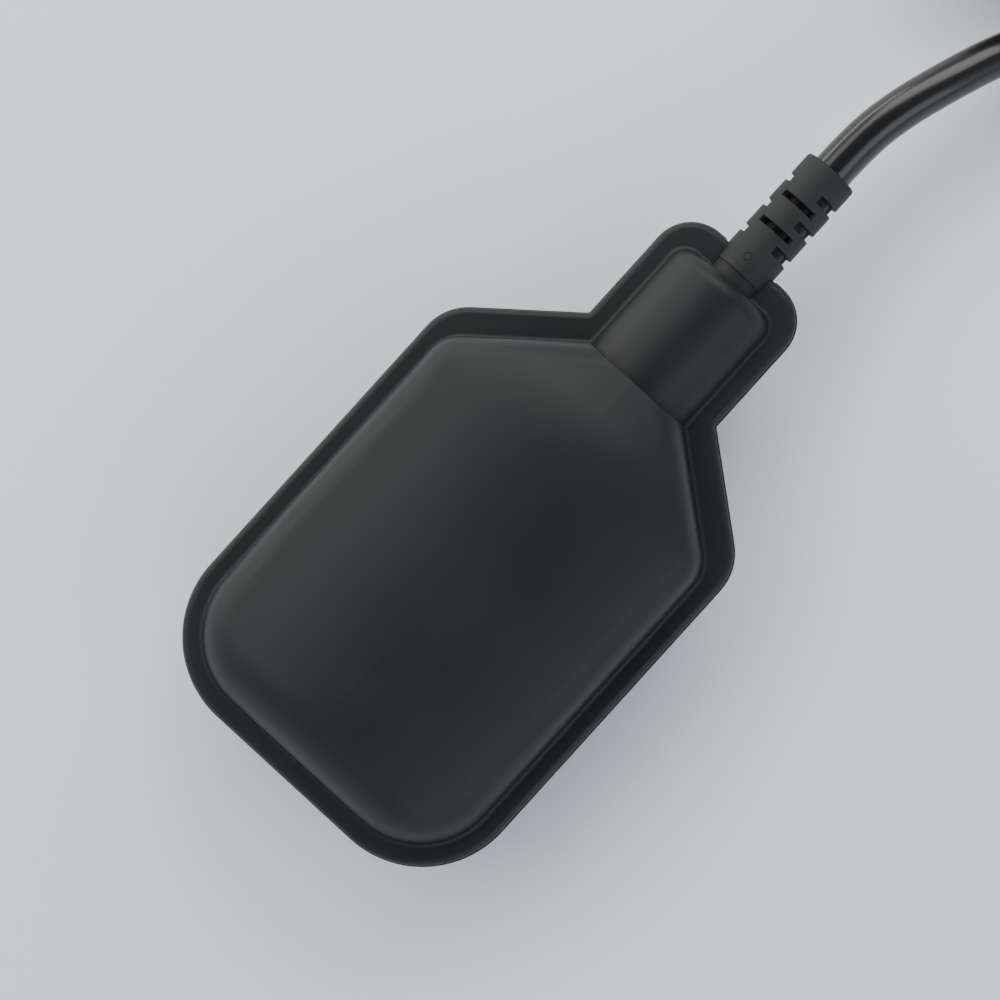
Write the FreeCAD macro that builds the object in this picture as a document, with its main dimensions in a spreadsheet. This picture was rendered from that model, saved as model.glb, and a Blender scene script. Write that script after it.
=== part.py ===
import FreeCAD
import Part
import math
import os
import re
import Sketcher

# Cable float level switch, in millimetres. Two welded half shells hold a carrier with a rolling ball,
# a cam lever and a snap switch. The cable leaves the neck through a slotted strain relief.
# +X runs along the float to the cable, +Z is up, and the origin is under the middle of the float.

sizes = {
    # Float outline, seen from above
    "body_length": 92,
    "shoulder_length": 18.5,
    "neck_length": 29.5,
    "float_width": 79.5,
    "neck_width": 34,
    "float_height": 42,
    "end_corner_radius": 21.5,
    "shoulder_corner_radius": 11,
    "neck_corner_radius": 8.5,
    "crotch_radius": 1,
    # Rim, dome and barrel of each half shell
    "rim_width": 4.2,
    "shoulder_rim": 6.1,
    "neck_rim": 6.4,
    "rim_thickness": 2.5,
    "rim_edge_radius": 1.3,
    "foot_radius": 1,
    "wall_thickness": 2.4,
    "dome_draft": 4,
    "dome_end_rounding": 14,
    "dome_neck_rounding": 6.5,
    "least_rounding": 0.6,
    "dome_shoulder_radius": 8,
    "crown_radius": 75,
    "crown_rise": 0.12,
    "crest_radius": 250,
    "crest_setback": 50,
    "ridge_setback": 3,
    "ridge_radius": 40,
    "dome_setback": 4,
    "dome_step": 1.5,
    "barrel_rounding": 3.5,
    "barrel_end_wall": 3,
    # Weld tongue on the upper rim and its groove in the lower rim
    "tongue_inset": 1.6,
    "tongue_width": 1.2,
    "tongue_height": 0.9,
    "groove_clearance": 0.15,
    # Cable, strain relief and neck seal
    "cable_diameter": 8.6,
    "relief_diameter": 12,
    "relief_length": 30.7,
    "relief_waist_diameter": 11.4,
    "relief_waist_length": 2.8,
    "relief_root_diameter": 16,
    "relief_root_length": 3.4,
    "relief_edge_radius": 0.6,
    "slot_start": 10.8,
    "slot_pitch": 3.4,
    "side_slot_width": 1.9,
    "side_slot_half_angle": 52,
    "side_slot_twist": 16,
    "top_slot_width": 1.4,
    "top_slot_half_angle": 42,
    "top_slot_twist": 92,
    "plug_length": 15,
    "ring_length": 4,
    "ring_thickness": 1.2,
    "cable_end_length": 2,
    # Ball, its track and the lever
    "ball_diameter": 16,
    "ball_travel": 20,
    "ball_gap": 0.3,
    "ball_setback": 36,
    "ball_offset": 14,
    "pivot_back": 14,
    "pivot_drop": 11.5,
    "lever_swing": 3.5,
    "lever_gap": 0.12,
    "lever_thickness": 2.4,
    "lever_height": 6,
    "lever_tip": 3,
    "hub_diameter": 5.2,
    "pin_diameter": 2,
    "pin_clearance": 0.04,
    # Carrier
    "carrier_floor": 2,
    "carrier_wall": 2,
    "carrier_corner_radius": 4,
    "carrier_edge": 4.5,
    "seat_margin": 0.6,
    "rail_gap": 0.6,
    "rail_width": 1.8,
    "column_diameter": 7,
    "column_gap": 1.2,
    "screw_diameter": 2.9,
    "screw_clearance": 0.2,
    "screw_head_diameter": 5.6,
    "screw_head_height": 2.1,
    "screw_grip": 4.4,
    # Snap switch
    "switch_length": 19.8,
    "switch_depth": 10.2,
    "switch_thickness": 6.4,
    "switch_wall": 1,
    "switch_room": 5.8,
    "switch_hole_spacing": 9.5,
    "switch_hole_diameter": 2.4,
    "switch_hole_rise": 1.9,
    "plunger_offset": 1.2,
    "plunger_stand": 2.1,
    "plunger_diameter": 2.8,
    "plunger_clearance": 0.1,
    "plunger_collar": 0.6,
    "plunger_foot_diameter": 0.9,
    "terminal_spacing": 8,
    "terminal_width": 3,
    "terminal_thickness": 0.6,
    "terminal_length": 4,
    "arm_thickness": 0.4,
    "arm_drop": 1.4,
    "arm_reach": 15,
    "arm_pin_diameter": 0.96,
    "arm_eye_diameter": 1.6,
    "contact_diameter": 1.6,
    "contact_height": 0.5,
    "contact_gap": 0.05,
    "opening_gap": 2.6,
    # Cores of the cable, and their way from the switch to the neck
    "core_diameter": 2.4,
    "core_spacing": 2.6,
    "core_wall_gap": 0.95,
    "core_pitch": 3.6,
    "core_bend": 5.2,
    "core_lead_in": 9.8,
    "core_stagger": 1.3,
    "core_slant": 55,
    "strip_length": 6,
    "strand_diameter": 1.4,
    "strand_length": 7,
    # Coil of the put-away length, and its ties
    "coil_radius": 46,
    "coil_forward": 108.7,
    "coil_aside": 2,
    "coil_layers": 3,
    "coil_section_radius": 4,
    "tie_thickness": 1.1,
    "tie_width": 4.6,
    "tie_stand": 0.2,
    "tie_head_length": 6.5,
    "tie_head_width": 6.4,
    "tie_head_depth": 2.6,
}

doc = FreeCAD.newDocument("FloatSwitch")
sheet = doc.addObject("Spreadsheet::Sheet", "Sizes")
for row, (name, value) in enumerate(sizes.items(), start=1):
    sheet.set(f"A{row}", name)
    sheet.set(f"B{row}", str(value))
    sheet.setAlias(f"B{row}", name)
doc.recompute()

# Places and sizes that follow from the driving ones
places = {
    "float_length": "body_length + shoulder_length + neck_length",
    "end_x": "-float_length / 2",
    "shoulder_x": "end_x + body_length",
    "neck_x": "shoulder_x + shoulder_length",
    "tip_x": "float_length / 2",
    "half_width": "float_width / 2",
    "half_neck": "neck_width / 2",
    "middle_z": "float_height / 2",
    "shoulder_drop": "half_width - half_neck",
    "shoulder_slant": "sqrt(shoulder_length^2 + shoulder_drop^2)",
    "shoulder_lean": "(shoulder_slant - shoulder_length) / shoulder_drop",
    "barrel_radius": "half_neck - rim_width",
    "barrel_x": "tip_x - neck_rim",
    "dome_x": "neck_x - dome_setback",
    "ridge_x": "shoulder_x - ridge_setback",
    "crest_x": "end_x + crest_setback",
    "top_slope": "(middle_z - barrel_radius - dome_step) / (dome_x - ridge_x)",
    "top_slant": "sqrt(1 + top_slope^2)",
    "cable_radius": "cable_diameter / 2",
    "exit_x": "barrel_x + relief_length",
    "root_x": "barrel_x - barrel_end_wall - relief_root_length",
    "plug_x": "root_x - plug_length",
    "cable_end_x": "plug_x - ring_length - cable_end_length",
    "ball_radius": "ball_diameter / 2",
    "ball_x": "end_x + ball_setback",
    "ball_y": "ball_offset",
    "track_reach": "ball_radius + ball_gap",
    "track_start": "ball_x - track_reach",
    "track_end": "ball_x + ball_travel + track_reach",
    "floor_z": "middle_z - track_reach",
    "roof_z": "middle_z + track_reach",
    "carrier_z": "floor_z - carrier_floor",
    "lid_z": "roof_z + carrier_floor",
    "pivot_x": "ball_x - pivot_back",
    "pivot_y": "ball_y - pivot_drop",
    "pin_radius": "pin_diameter / 2",
    "cam_rate": "lever_swing * pi / 180 / ball_travel",
    "cam_depth": "ball_radius + lever_gap",
    "back_depth": "cam_depth + lever_thickness",
    "rail_height": "lever_height / 2 + rail_gap",
    "rail_y": "ball_y - ball_gap - sqrt(ball_radius^2 - rail_height^2)",
    "switch_floor_z": "middle_z - switch_thickness / 2",
    "switch_top_z": "middle_z + switch_thickness / 2",
    "switch_back": "face_y - switch_depth",
    "switch_x": "plunger_x - plunger_offset",
    "switch_start": "switch_x - switch_length / 2",
    "switch_end": "switch_x + switch_length / 2",
    "room_top": "face_y - switch_wall",
    "room_base": "room_top - switch_room",
    "room_start": "switch_start + switch_wall",
    "room_end": "switch_end - switch_wall",
    "room_floor_z": "switch_floor_z + switch_wall",
    "room_roof_z": "switch_top_z - switch_wall",
    "hole_y": "switch_back + switch_hole_rise",
    "plunger_radius": "plunger_diameter / 2",
    "arm_y": "room_top - arm_drop",
    "anchor_x": "switch_x - terminal_spacing",
    "contact_x": "anchor_x + arm_reach",
    "contact_radius": "contact_diameter / 2",
    "contact_top": "arm_y + contact_height",
    "contact_base": "arm_y - arm_thickness - contact_height",
    "leg_start": "contact_x + contact_radius + plunger_clearance",
    "terminal_end": "switch_back - terminal_length",
    "carrier_start": "pivot_x - carrier_edge - hub_diameter / 2",
    "carrier_stop": "track_end + carrier_wall + column_gap + column_diameter / 2 + carrier_edge",
    "carrier_back": "switch_back - seat_margin",
    "carrier_front": "ball_y + track_reach + carrier_wall",
    "column_start": "carrier_start + carrier_edge",
    "column_stop": "carrier_stop - carrier_edge",
    "column_front": "ball_y + carrier_edge",
    "column_back": "carrier_back + carrier_edge",
    "core_radius": "core_diameter / 2",
    "core_back": "half_width - rim_width - wall_thickness - core_wall_gap - core_radius",
    "coil_x": "exit_x + coil_forward",
    "coil_y": "coil_aside",
    "coil_height": "coil_layers * cable_diameter",
    "coil_inside": "coil_radius - cable_diameter",
    "coil_outside": "coil_radius + cable_diameter",
}


def cam_place(share, depth):
    # Place on the lever, from its pivot, that the ball meets after a share of its travel, at a depth
    # from the ball's centre, worked out so that the lever turns evenly as the ball rolls
    turn = f"(lever_swing * {share} * 1 deg)"
    along = f"(pivot_back + ball_travel * {share})"
    slope = f"({turn} + atan(cam_rate * {along} / (1 - cam_rate * pivot_drop)))"
    x = f"{along} * cos({turn}) - pivot_drop * sin({turn}) + {depth} * sin({slope})"
    y = f"{along} * sin({turn}) + pivot_drop * cos({turn}) - {depth} * cos({slope})"
    return x, y


# The plunger stands under the middle of the lever's cam
plunger_place = cam_place("0.5", "back_depth")
places["plunger_x"] = f"pivot_x + {plunger_place[0]}"
places["face_y"] = f"pivot_y + {plunger_place[1]} - lever_gap - plunger_stand"


# Helpers

def formula(text):
    # Write a formula of size and place names as a sheet expression
    def expand(match):
        word = match.group(0)
        if word in sizes:
            return f"Sizes.{word}"
        if word in places:
            return f"({formula(places[word])})"
        return word
    return re.sub(r"[a-z_]+", expand, text)


def number(text):
    result = sheet.evalExpression(formula(text))
    return float(getattr(result, "Value", result))


def spot(x, y, z="0"):
    return FreeCAD.Vector(number(x), number(y), number(z))


def bind(item, name, text):
    item.setExpression(name, formula(text))


def add(kind, label):
    item = doc.addObject(kind, label)
    item.Label = label
    return item


def move(item, x, y, z):
    for axis, text in zip("xyz", (x, y, z)):
        bind(item, f"Placement.Base.{axis}", text)
    return item


def sketch(body, plane, offset="0"):
    drawing = body.newObject("Sketcher::SketchObject", f"{body.Name}_sketch")
    planes = {feature.Role: feature for feature in body.Origin.OriginFeatures}
    drawing.AttachmentSupport = [(planes[plane], "")]
    drawing.MapMode = "FlatFace"
    bind(drawing, "AttachmentOffset.Base.z", offset)
    return drawing


def hold(drawing, edge, end, x, y):
    # Fix a point of a sketch at a place bound to the sheet
    for kind, text in (("DistanceX", x), ("DistanceY", y)):
        rule = Sketcher.Constraint(kind, -1, 1, edge, end, number(text))
        bind(drawing, f"Constraints[{drawing.addConstraint(rule)}]", text)


def outline(drawing, points):
    # Closed outline. A point with the word via is the middle of an arc between its neighbours
    spots = [spot(*point[:2]) for point in points]
    count = len(points)
    ends = []
    for index, point in enumerate(points):
        following = (index + 1) % count
        if len(point) == 3:
            continue
        if len(points[following]) == 3:
            last = spots[(index + 2) % count]
            edge = drawing.addGeometry(Part.Arc(spots[index], spots[following], last), False)
            middle = drawing.addGeometry(Part.Point(spots[following]), True)
            drawing.addConstraint(Sketcher.Constraint("PointOnObject", middle, 1, edge))
            hold(drawing, middle, 1, *points[following][:2])
        else:
            last = spots[following]
            edge = drawing.addGeometry(Part.LineSegment(spots[index], last), False)
        start = 1 if drawing.getPoint(edge, 1).isEqual(spots[index], 1e-6) else 2
        ends.append((edge, start, point))
    for place, (edge, start, point) in enumerate(ends):
        before, before_start, _ = ends[place - 1]
        drawing.addConstraint(Sketcher.Constraint("Coincident", before, 3 - before_start, edge, start))
        hold(drawing, edge, start, *point[:2])
    return drawing


def circle(drawing, x, y, radius):
    round_edge = Part.Circle(spot(x, y), FreeCAD.Vector(0, 0, 1), number(radius))
    edge = drawing.addGeometry(round_edge, False)
    hold(drawing, edge, 3, x, y)
    rule = drawing.addConstraint(Sketcher.Constraint("Radius", edge, number(radius)))
    bind(drawing, f"Constraints[{rule}]", radius)
    return drawing


def rectangle(x_low, x_high, y_low, y_high):
    return [(x_low, y_low), (x_high, y_low), (x_high, y_high), (x_low, y_high)]


def pad(body, drawing, length, taper="0"):
    feature = body.newObject("PartDesign::Pad", f"{body.Name}_pad")
    feature.Profile = drawing
    bind(feature, "Length", length)
    bind(feature, "TaperAngle", f"-({taper})")
    doc.recompute()
    return feature


def turn(body, drawing, axis):
    # Full turn of a sketch about an axis of its body
    doc.recompute()
    feature = body.newObject("PartDesign::Revolution", f"{body.Name}_turned")
    feature.Profile = drawing
    axes = {origin.Role: origin for origin in body.Origin.OriginFeatures}
    feature.ReferenceAxis = (axes[axis], [""])
    feature.Angle = 360
    doc.recompute()
    return axes[axis]


def pocket(body, drawing, length, both_ways=False):
    # Cut below a sketch, or to both sides of it, and make sure that material went
    before = body.Shape.Volume
    feature = body.newObject("PartDesign::Pocket", f"{body.Name}_pocket")
    feature.Profile = drawing
    feature.SideType = "Symmetric" if both_ways else "One side"
    bind(feature, "Length", length)
    doc.recompute()
    if body.Shape.Volume > before - 1e-6:
        raise RuntimeError(f"a pocket of {body.Label} cut nothing")
    return feature


def plate(label, points, low, high):
    # Body padded between two heights
    body = add("PartDesign::Body", label)
    pad(body, outline(sketch(body, "XY_Plane", low), points), f"{high} - ({low})")
    return body


def boss(body, points, low, high):
    pad(body, outline(sketch(body, "XY_Plane", low), points), f"{high} - ({low})")


def post(body, x, y, radius, low, high):
    pad(body, circle(sketch(body, "XY_Plane", low), x, y, radius), f"{high} - ({low})")


def drill(body, x, y, radius, low, high):
    pocket(body, circle(sketch(body, "XY_Plane", high), x, y, radius), f"{high} - ({low})")


def hollow(body, points, low, high):
    pocket(body, outline(sketch(body, "XY_Plane", high), points), f"{high} - ({low})")


def round_edges(body, chosen, radius):
    # Fillet the edges that a test picks
    base = body.Tip
    feature = body.newObject("PartDesign::Fillet", f"{body.Name}_fillet")
    edges = enumerate(base.Shape.Edges, start=1)
    feature.Base = (base, [f"Edge{index}" for index, edge in edges if chosen(edge)])
    bind(feature, "Radius", radius)
    doc.recompute()
    return feature


def round_uprights(body, corners, radius):
    # Fillet the upright or drafted edges that start at given corners
    feet = [spot(x, y) for x, y in corners]

    def chosen(edge):
        low = min((vertex.Point for vertex in edge.Vertexes), key=lambda point: point.z)
        if edge.BoundBox.ZLength < 1e-3:
            return False
        return any(math.hypot(low.x - foot.x, low.y - foot.y) < 1e-3 for foot in feet)
    return round_edges(body, chosen, radius)


def rod(label, axis, x, y, z, radius, length):
    # Cylinder from a place along an axis
    turns = {"X": ((0, 1, 0), 90), "Y": ((1, 0, 0), -90), "Z": ((0, 0, 1), 0)}
    item = add("Part::Cylinder", label)
    direction, angle = turns[axis]
    item.Placement.Rotation = FreeCAD.Rotation(FreeCAD.Vector(*direction), angle)
    bind(item, "Radius", radius)
    bind(item, "Height", length)
    return move(item, x, y, z)


def box(label, x, y, z, length, width, height):
    item = add("Part::Box", label)
    for name, text in (("Length", length), ("Width", width), ("Height", height)):
        bind(item, name, text)
    return move(item, x, y, z)


def fuse(label, pieces):
    item = add("Part::MultiFuse", label)
    item.Shapes = pieces
    item.Refine = True
    doc.recompute()
    return item


def common(label, pieces):
    item = add("Part::MultiCommon", label)
    item.Shapes = pieces
    doc.recompute()
    return item


def cut(label, base, tool):
    item = add("Part::Cut", label)
    item.Base = base
    item.Tool = tool
    item.Refine = True
    doc.recompute()
    return item


def mirror(label, source, normal, height="0"):
    item = add("Part::Mirroring", label)
    item.Source = source
    item.Normal = FreeCAD.Vector(*normal)
    bind(item, "Base.z", height)
    doc.recompute()
    return item


nodes = []


def keep(item):
    nodes.append(item)
    return item


# Float shells, modelled above the weld plane and then lifted to it

def rim_form(label, inset, thickness):
    # Plate with the float's outline, smaller all round by an inset
    body = add("PartDesign::Body", label)
    start = f"end_x + {inset}"
    shoulder = f"shoulder_x - ({inset}) * shoulder_lean"
    neck = f"neck_x - ({inset}) * shoulder_lean"
    tip = f"tip_x - ({inset})"
    wide = f"half_width - ({inset})"
    narrow = f"half_neck - ({inset})"
    side = [(start, wide), (shoulder, wide), (neck, narrow), (tip, narrow)]
    far_side = [(x, f"-({y})") for x, y in reversed(side)]
    pad(body, outline(sketch(body, "XY_Plane"), side + far_side), thickness)
    radii = [f"end_corner_radius - ({inset})", f"shoulder_corner_radius - ({inset})",
             f"crotch_radius + {inset}", f"neck_corner_radius - ({inset})"]
    for (x, y), radius in zip(side, radii):
        round_uprights(body, [(x, y), (x, f"-({y})")], radius)
    return move(body, "0", "0", "middle_z")


def dome_form(label, inset):
    # Drafted and crowned dome, smaller all round by an inset. Its edge is rounded broadly at the closed
    # end and ever tighter towards the neck, so one half is rounded and then mirrored
    body = add("PartDesign::Body", f"{label}_block")
    wide = f"(half_width - rim_width - ({inset}))"
    rim = f"(shoulder_rim + {inset})"
    line_x = f"(neck_x - {rim} * shoulder_drop / shoulder_slant)"
    line_y = f"(half_neck - {rim} * shoulder_length / shoulder_slant)"
    start = f"end_x + rim_width + {inset}"
    shoulder = f"{line_x} - ({wide} - {line_y}) * shoulder_length / shoulder_drop"
    stop = f"(dome_x - ({inset}))"
    narrow = f"{line_y} + ({line_x} - {stop}) * shoulder_drop / shoulder_length"
    side = [(start, wide), (shoulder, wide), (stop, narrow)]
    far_side = [(x, f"-({y})") for x, y in reversed(side)]
    pad(body, outline(sketch(body, "XY_Plane"), side + far_side), "middle_z + rim_thickness", "dome_draft")
    corner = f"end_corner_radius - rim_width - ({inset})"
    round_uprights(body, [(start, wide), (start, f"-({wide})")], corner)
    shoulders = [(shoulder, wide), (shoulder, f"-({wide})")]
    round_uprights(body, shoulders, f"dome_shoulder_radius - ({inset})")
    window = box(f"{label}_window", "-float_length", "0", "-1", "2 * float_length", "float_width",
                 "float_height")
    half = common(f"{label}_half", [body, crown_form(f"{label}_crown", inset), window])
    rounded = add("Part::Fillet", f"{label}_rounded")
    rounded.Base = half
    broad = f"(dome_end_rounding - ({inset}))"
    tight = f"max(dome_neck_rounding - ({inset}); least_rounding)"
    rounded.Edges = rounding_law(half.Shape, number(broad), number(tight))
    doc.recompute()
    whole = fuse(label, [rounded, mirror(f"{label}_mirror", rounded, (0, 1, 0))])
    return move(whole, "0", "0", "middle_z")


def crown_form(label, inset):
    # Solid under the dome's crest line, which is turned about a far axis below the float. The line
    # rises from the closed end, runs level and slopes down to the neck after a soft ridge
    body = add("PartDesign::Body", label)
    top = f"(crown_radius - ({inset}))"
    base = "crown_radius - middle_z - crown_rise - rim_thickness"
    half_turn = "((top_slant - 1) / top_slope)"
    ridge = f"(ridge_x - ({inset}) * {half_turn})"
    curve = f"(ridge_radius - ({inset}))"
    reach = f"({curve} * {half_turn})"
    sine = "sqrt((1 - 1 / top_slant) / 2)"
    cosine = "sqrt((1 + 1 / top_slant) / 2)"
    rise = f"crown_radius - crest_radius + sqrt((crest_radius - ({inset}))^2 - (crest_setback / {{}})^2)"
    crest = [
        ("end_x", rise.format(1)),
        ("crest_x - crest_setback / 2", rise.format(2), "via"),
        ("crest_x", top),
        (f"{ridge} - {reach}", top),
        (f"{ridge} - {reach} + {curve} * {sine}", f"{top} - {curve} * (1 - {cosine})", "via"),
        (f"{ridge} + {reach} / top_slant", f"{top} - {reach} * top_slope / top_slant"),
        ("tip_x", f"{top} - (tip_x - {ridge}) * top_slope"),
        ("tip_x", base),
        ("end_x", base),
    ]
    turn(body, outline(sketch(body, "XZ_Plane"), crest), "X_Axis")
    return move(body, "0", "0", "middle_z + crown_rise - crown_radius")


def rounding_law(shape, broad, tight):
    # Radii of the edges round the top of a half dome, from the closed end to the neck
    chain = []
    for index, edge in enumerate(shape.Edges, start=1):
        middle = edge.valueAt((edge.FirstParameter + edge.LastParameter) / 2)
        faces = shape.ancestorsOfType(edge, Part.Face)
        normals = [face.normalAt(*face.Surface.parameter(middle)) for face in faces]
        wall, roof = sorted(normals, key=lambda normal: normal.z)
        upright = -0.5 < wall.z < 0.2 and wall.x < 0.9
        if upright and roof.z > 0.5 and edge.BoundBox.YMax > 1e-3:
            chain.append((index, sorted(vertex.X for vertex in edge.Vertexes)))
    start = min(ends[0] for _, ends in chain)
    stop = max(ends[1] for _, ends in chain)
    law = []
    for index, ends in sorted(chain, key=lambda entry: sum(entry[1])):
        shares = [(x - start) / (stop - start) for x in ends]
        law.append((index, *[broad + (tight - broad) * share for share in shares]))
    return law


def barrel_form(label, inset, start, stop):
    # Half round barrel of the neck
    body = add("PartDesign::Body", label)
    radius = f"(barrel_radius - ({inset}))"
    arch = [(f"-{radius}", "0"), (radius, "0"), ("0", radius, "via")]
    pad(body, outline(sketch(body, "YZ_Plane", start), arch), f"{stop} - ({start})")
    return move(body, "0", "0", "middle_z")


def shells():
    rim = rim_form("rim", "0", "rim_thickness")
    height = number("rim_thickness")
    round_edges(rim, lambda edge: edge.BoundBox.ZMin > height - 1e-3, "rim_edge_radius")
    barrel = barrel_form("barrel", "0", "ridge_x", "barrel_x")
    stop = number("barrel_x")

    def barrel_lip(edge):
        return edge.BoundBox.XMin > stop - 1e-3 and edge.BoundBox.ZLength > 1
    round_edges(barrel, barrel_lip, "barrel_rounding")
    outside = round_feet(fuse("shell_outside", [rim, dome_form("dome", "0"), barrel]))
    chamber = barrel_form("neck_chamber", "wall_thickness", "ridge_x", "barrel_x - barrel_end_wall")
    inside = fuse("shell_inside", [dome_form("float_chamber", "wall_thickness"), chamber])
    waist = "barrel_x + relief_waist_length - root_x"
    waist_bore = rod("relief_waist_bore", "X", "root_x", "0", "middle_z", "relief_waist_diameter / 2", waist)
    mouth = rod("relief_mouth", "X", "barrel_x + relief_waist_length", "0", "middle_z",
                "relief_diameter / 2", "relief_length")
    plain = cut("plain_shell", outside, fuse("shell_openings", [inside, waist_bore, mouth]))
    # The tongue stands on the upper rim and fits a groove of the lower rim
    outer = rim_form("tongue_outer", "tongue_inset", "tongue_height")
    inner = rim_form("tongue_inner", "tongue_inset + tongue_width", "tongue_height")
    wide_inset = "tongue_inset - groove_clearance"
    narrow_inset = "tongue_inset + tongue_width + groove_clearance"
    groove_depth = "tongue_height + groove_clearance"
    groove = cut("groove", rim_form("groove_outer", wide_inset, groove_depth),
                 rim_form("groove_inner", narrow_inset, groove_depth))
    tongue = cut("tongue", outer, inner)
    hanging = mirror("tongue_below", tongue, (0, 0, 1), "middle_z")
    # The lower crown is cut off level, which gives the float a flat to stand on
    below = box("belly_waste", "end_x", "-half_width", "-crown_rise - rim_thickness", "float_length",
                "float_width", "crown_rise + rim_thickness")
    belly = cut("flat_belly", mirror("shell_below", plain, (0, 0, 1), "middle_z"), below)
    grooved = cut("grooved_shell", belly, mirror("groove_below", groove, (0, 0, 1), "middle_z"))
    passage = rod("tongue_passage", "X", "barrel_x", "0", "middle_z", "relief_diameter / 2", "relief_length")
    keep(fuse("upper_shell", [plain, cut("open_tongue", hanging, passage)]))
    # Screw posts for the carrier, which end in the shell's wall
    posts = []
    pilots = []
    for index, (x, y) in enumerate(screw_places()):
        posts.append(rod(f"screw_post_{index}", "Z", x, y, "wall_thickness / 2", "column_diameter / 2",
                         "carrier_z - wall_thickness / 2"))
        pilots.append(rod(f"screw_pilot_{index}", "Z", x, y, "carrier_z - screw_grip", "screw_diameter / 2",
                          "screw_grip"))
    seated = common("seated_posts", [fuse("screw_posts", posts),
                                     mirror("outside_below", outside, (0, 0, 1), "middle_z")])
    lower = fuse("posted_shell", [grooved, seated])
    keep(cut("lower_shell", lower, fuse("screw_pilots", pilots)))


def round_feet(item):
    # Small fillet where the dome and the barrel stand on the rim
    level = number("middle_z + rim_thickness")
    radius = number("foot_radius")
    feet = []
    for index, edge in enumerate(item.Shape.Edges, start=1):
        bounds = edge.BoundBox
        if bounds.ZLength > 1e-3 or abs(bounds.ZMin - level) > 1e-3:
            continue
        middle = edge.valueAt((edge.FirstParameter + edge.LastParameter) / 2)
        faces = item.Shape.ancestorsOfType(edge, Part.Face)
        if min(face.normalAt(*face.Surface.parameter(middle)).z for face in faces) < 0.5:
            feet.append((index, radius, radius))
    rounded = add("Part::Fillet", f"{item.Label}_rounded")
    rounded.Base = item
    rounded.Edges = feet
    doc.recompute()
    return rounded


def screw_places():
    return [(x, y) for x in ("column_start", "column_stop") for y in ("column_back", "column_front")]


# Strain relief, cable end and seal in the neck

def strain_relief():
    body = add("PartDesign::Body", "strain_relief")
    waist_end = "barrel_x + relief_waist_length"
    inner = "cable_radius"
    outer = "relief_diameter / 2"
    waist = "relief_waist_diameter / 2"
    root = "relief_root_diameter / 2"
    shoulder = "root_x + relief_root_length"
    profile = [("root_x", inner), ("root_x", root), (shoulder, root), (shoulder, waist), (waist_end, waist),
               (waist_end, outer), ("exit_x", outer), ("exit_x", inner)]
    long_axis = turn(body, outline(sketch(body, "XY_Plane"), profile), "X_Axis")
    lip = number("exit_x")
    rim = number(outer)

    def outer_lip(edge):
        return edge.BoundBox.XMin > lip - 1e-3 and edge.BoundBox.ZMax > rim - 1e-3
    round_edges(body, outer_lip, "relief_edge_radius")
    # Slots in pairs, turn about at the sides and at the top and bottom, as wedges that go past the wall
    near = "cable_radius / 3"
    far = "relief_diameter"
    rows = [("slot_start", 3, "side_slot"), ("slot_start + slot_pitch", 2, "top_slot")]
    for first, copies, slot in rows:
        drawing = sketch(body, "YZ_Plane", f"barrel_x + {first}")
        tangent = f"tan({slot}_half_angle * 1 deg)"
        sine = f"sin({slot}_twist * 1 deg)"
        cosine = f"cos({slot}_twist * 1 deg)"
        for side in ("1", "-1"):
            wedge = [(near, f"-{near} * {tangent}"), (far, f"-{far} * {tangent}"),
                     (far, f"{far} * {tangent}"), (near, f"{near} * {tangent}")]
            outline(drawing, [(f"{side} * ({x} * {cosine} + {y} * {sine})",
                               f"{side} * ({y} * {cosine} - {x} * {sine})") for x, y in wedge])
        slots = pocket(body, drawing, f"{slot}_width", both_ways=True)
        pattern = body.newObject("PartDesign::LinearPattern", "relief_slots")
        pattern.Originals = [slots]
        pattern.Direction = (long_axis, [""])
        pattern.Occurrences = copies
        bind(pattern, "Length", f"2 * slot_pitch * {copies - 1}")
        body.Tip = pattern
        doc.recompute()
    keep(move(body, "0", "0", "middle_z"))


def ring(label, start, length, outer, inner):
    # Ring round the cable's axis
    body = add("PartDesign::Body", label)
    drawing = circle(sketch(body, "YZ_Plane", start), "0", "0", outer)
    pad(body, circle(drawing, "0", "0", inner), length)
    return keep(move(body, "0", "0", "middle_z"))


def neck_seal():
    ring("resin_plug", "plug_x", "plug_length", "barrel_radius - wall_thickness", "cable_radius")
    ring("grip_ring", "plug_x - ring_length", "ring_length", "cable_radius + ring_thickness", "cable_radius")
    keep(rod("cable_in_neck", "X", "cable_end_x", "0", "middle_z", "cable_radius", "exit_x - cable_end_x"))


# Carrier with the ball track, and its lid

def carrier_outline(body_label, low, high):
    body = plate(body_label, rectangle("carrier_start", "carrier_stop", "carrier_back", "carrier_front"),
                 low, high)
    corners = [(x, y) for x in ("carrier_start", "carrier_stop") for y in ("carrier_back", "carrier_front")]
    round_uprights(body, corners, "carrier_corner_radius")
    return body


def switch_holes():
    return [(f"switch_x {sign} switch_hole_spacing / 2", "hole_y") for sign in "+-"]


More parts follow.
